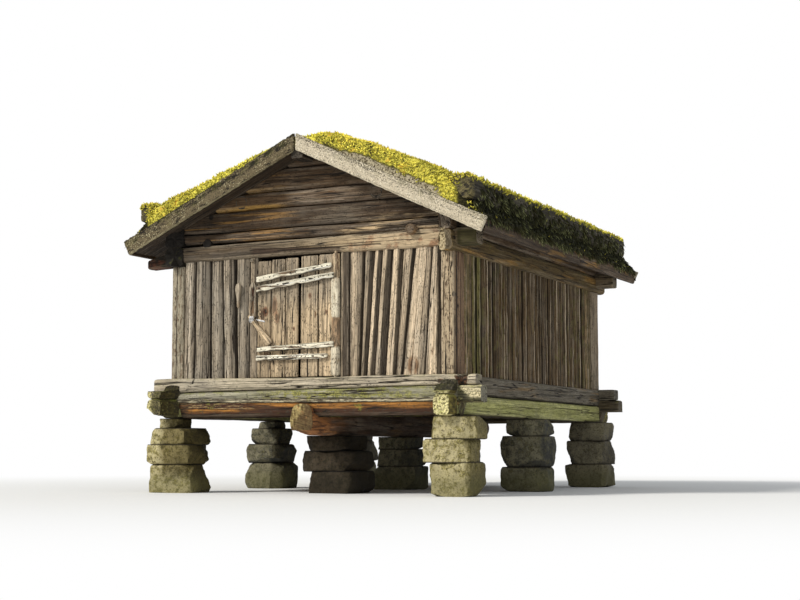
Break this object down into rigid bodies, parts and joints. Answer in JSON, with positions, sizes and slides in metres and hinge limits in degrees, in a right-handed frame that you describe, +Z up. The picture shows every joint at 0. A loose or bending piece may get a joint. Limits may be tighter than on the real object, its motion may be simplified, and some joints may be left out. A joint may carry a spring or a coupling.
{
  "type": "raised granary",
  "caption": "Raised timber granary with stave walls on notched log frames, stone piers, a turf roof and a front door on turning pins.",
  "frame": {"origin": "on the ground at the middle of the plan, at the foot of the piers", "axes": "+Z up, the door faces -Y, +X is the right side seen from the front, and the roof ridge runs along Y"},
  "size_m": [4.78, 5.78, 4.2405],
  "materials": {
    "pier_stone": "rough, lichen covered",
    "sill_log": "weathered, mossy",
    "joist_log": "weathered, in shade",
    "stave": "weathered grey brown",
    "door_board": "weathered, sunlit",
    "door_ledge": "bleached",
    "hasp_iron": "zinc grey",
    "plate_log": "weathered brown",
    "gable_log": "brown with ochre streaks",
    "roof_timber": "weathered brown",
    "bargeboard": "lichen speckled grey",
    "turf": "moss",
    "turf_log": "dark, mossy"
  },
  "bodies": {
    "house": {"piers_front": "pier_stone", "piers_middle": "pier_stone", "piers_rear": "pier_stone", "joist_middle": "joist_log", "floor_bearer": "joist_log", "floor": "joist_log", "sills_side_lower": "sill_log", "sills_side_upper": "sill_log", "sill_front_lower": "sill_log", "sill_front_upper": "sill_log", "sill_rear_lower": "sill_log", "sill_rear_upper": "sill_log", "corner_posts": "stave", "wall_left": "stave", "wall_right": "stave", "wall_rear": "stave", "wall_front_left": "stave", "wall_front_right": "stave", "door_jambs": "stave", "door_keepers": "door_ledge", "plates_side_lower": "plate_log", "plates_side_upper": "plate_log", "plate_front": "plate_log", "plate_rear": "plate_log", "gable_logs_1": "gable_log", "gable_logs_2": "gable_log", "gable_logs_3": "gable_log", "gable_logs_4": "gable_log", "gable_logs_5": "gable_log", "ridge_beam": "roof_timber", "purlins": "roof_timber", "pole_beams": "roof_timber", "roof_boards_left": "roof_timber", "roof_boards_right": "roof_timber", "eave_boards": "roof_timber", "bargeboards_left": "bargeboard", "bargeboards_right": "bargeboard", "turf_left": "turf", "turf_right": "turf", "turf_logs": "turf_log"},
    "door": {"door_leaf": "door_board", "door_pivot": "door_ledge", "door_ledges": "door_ledge", "door_bar": "door_ledge", "door_hasp": "hasp_iron"}
  },
  "joints": [
    {"name": "door_turn", "type": "hinge", "parent": "house", "child": "door", "pos_m": [0.386, -2.585, 1.35], "axis": [0, 0, 1], "range_deg": [0, 90]}
  ]
}
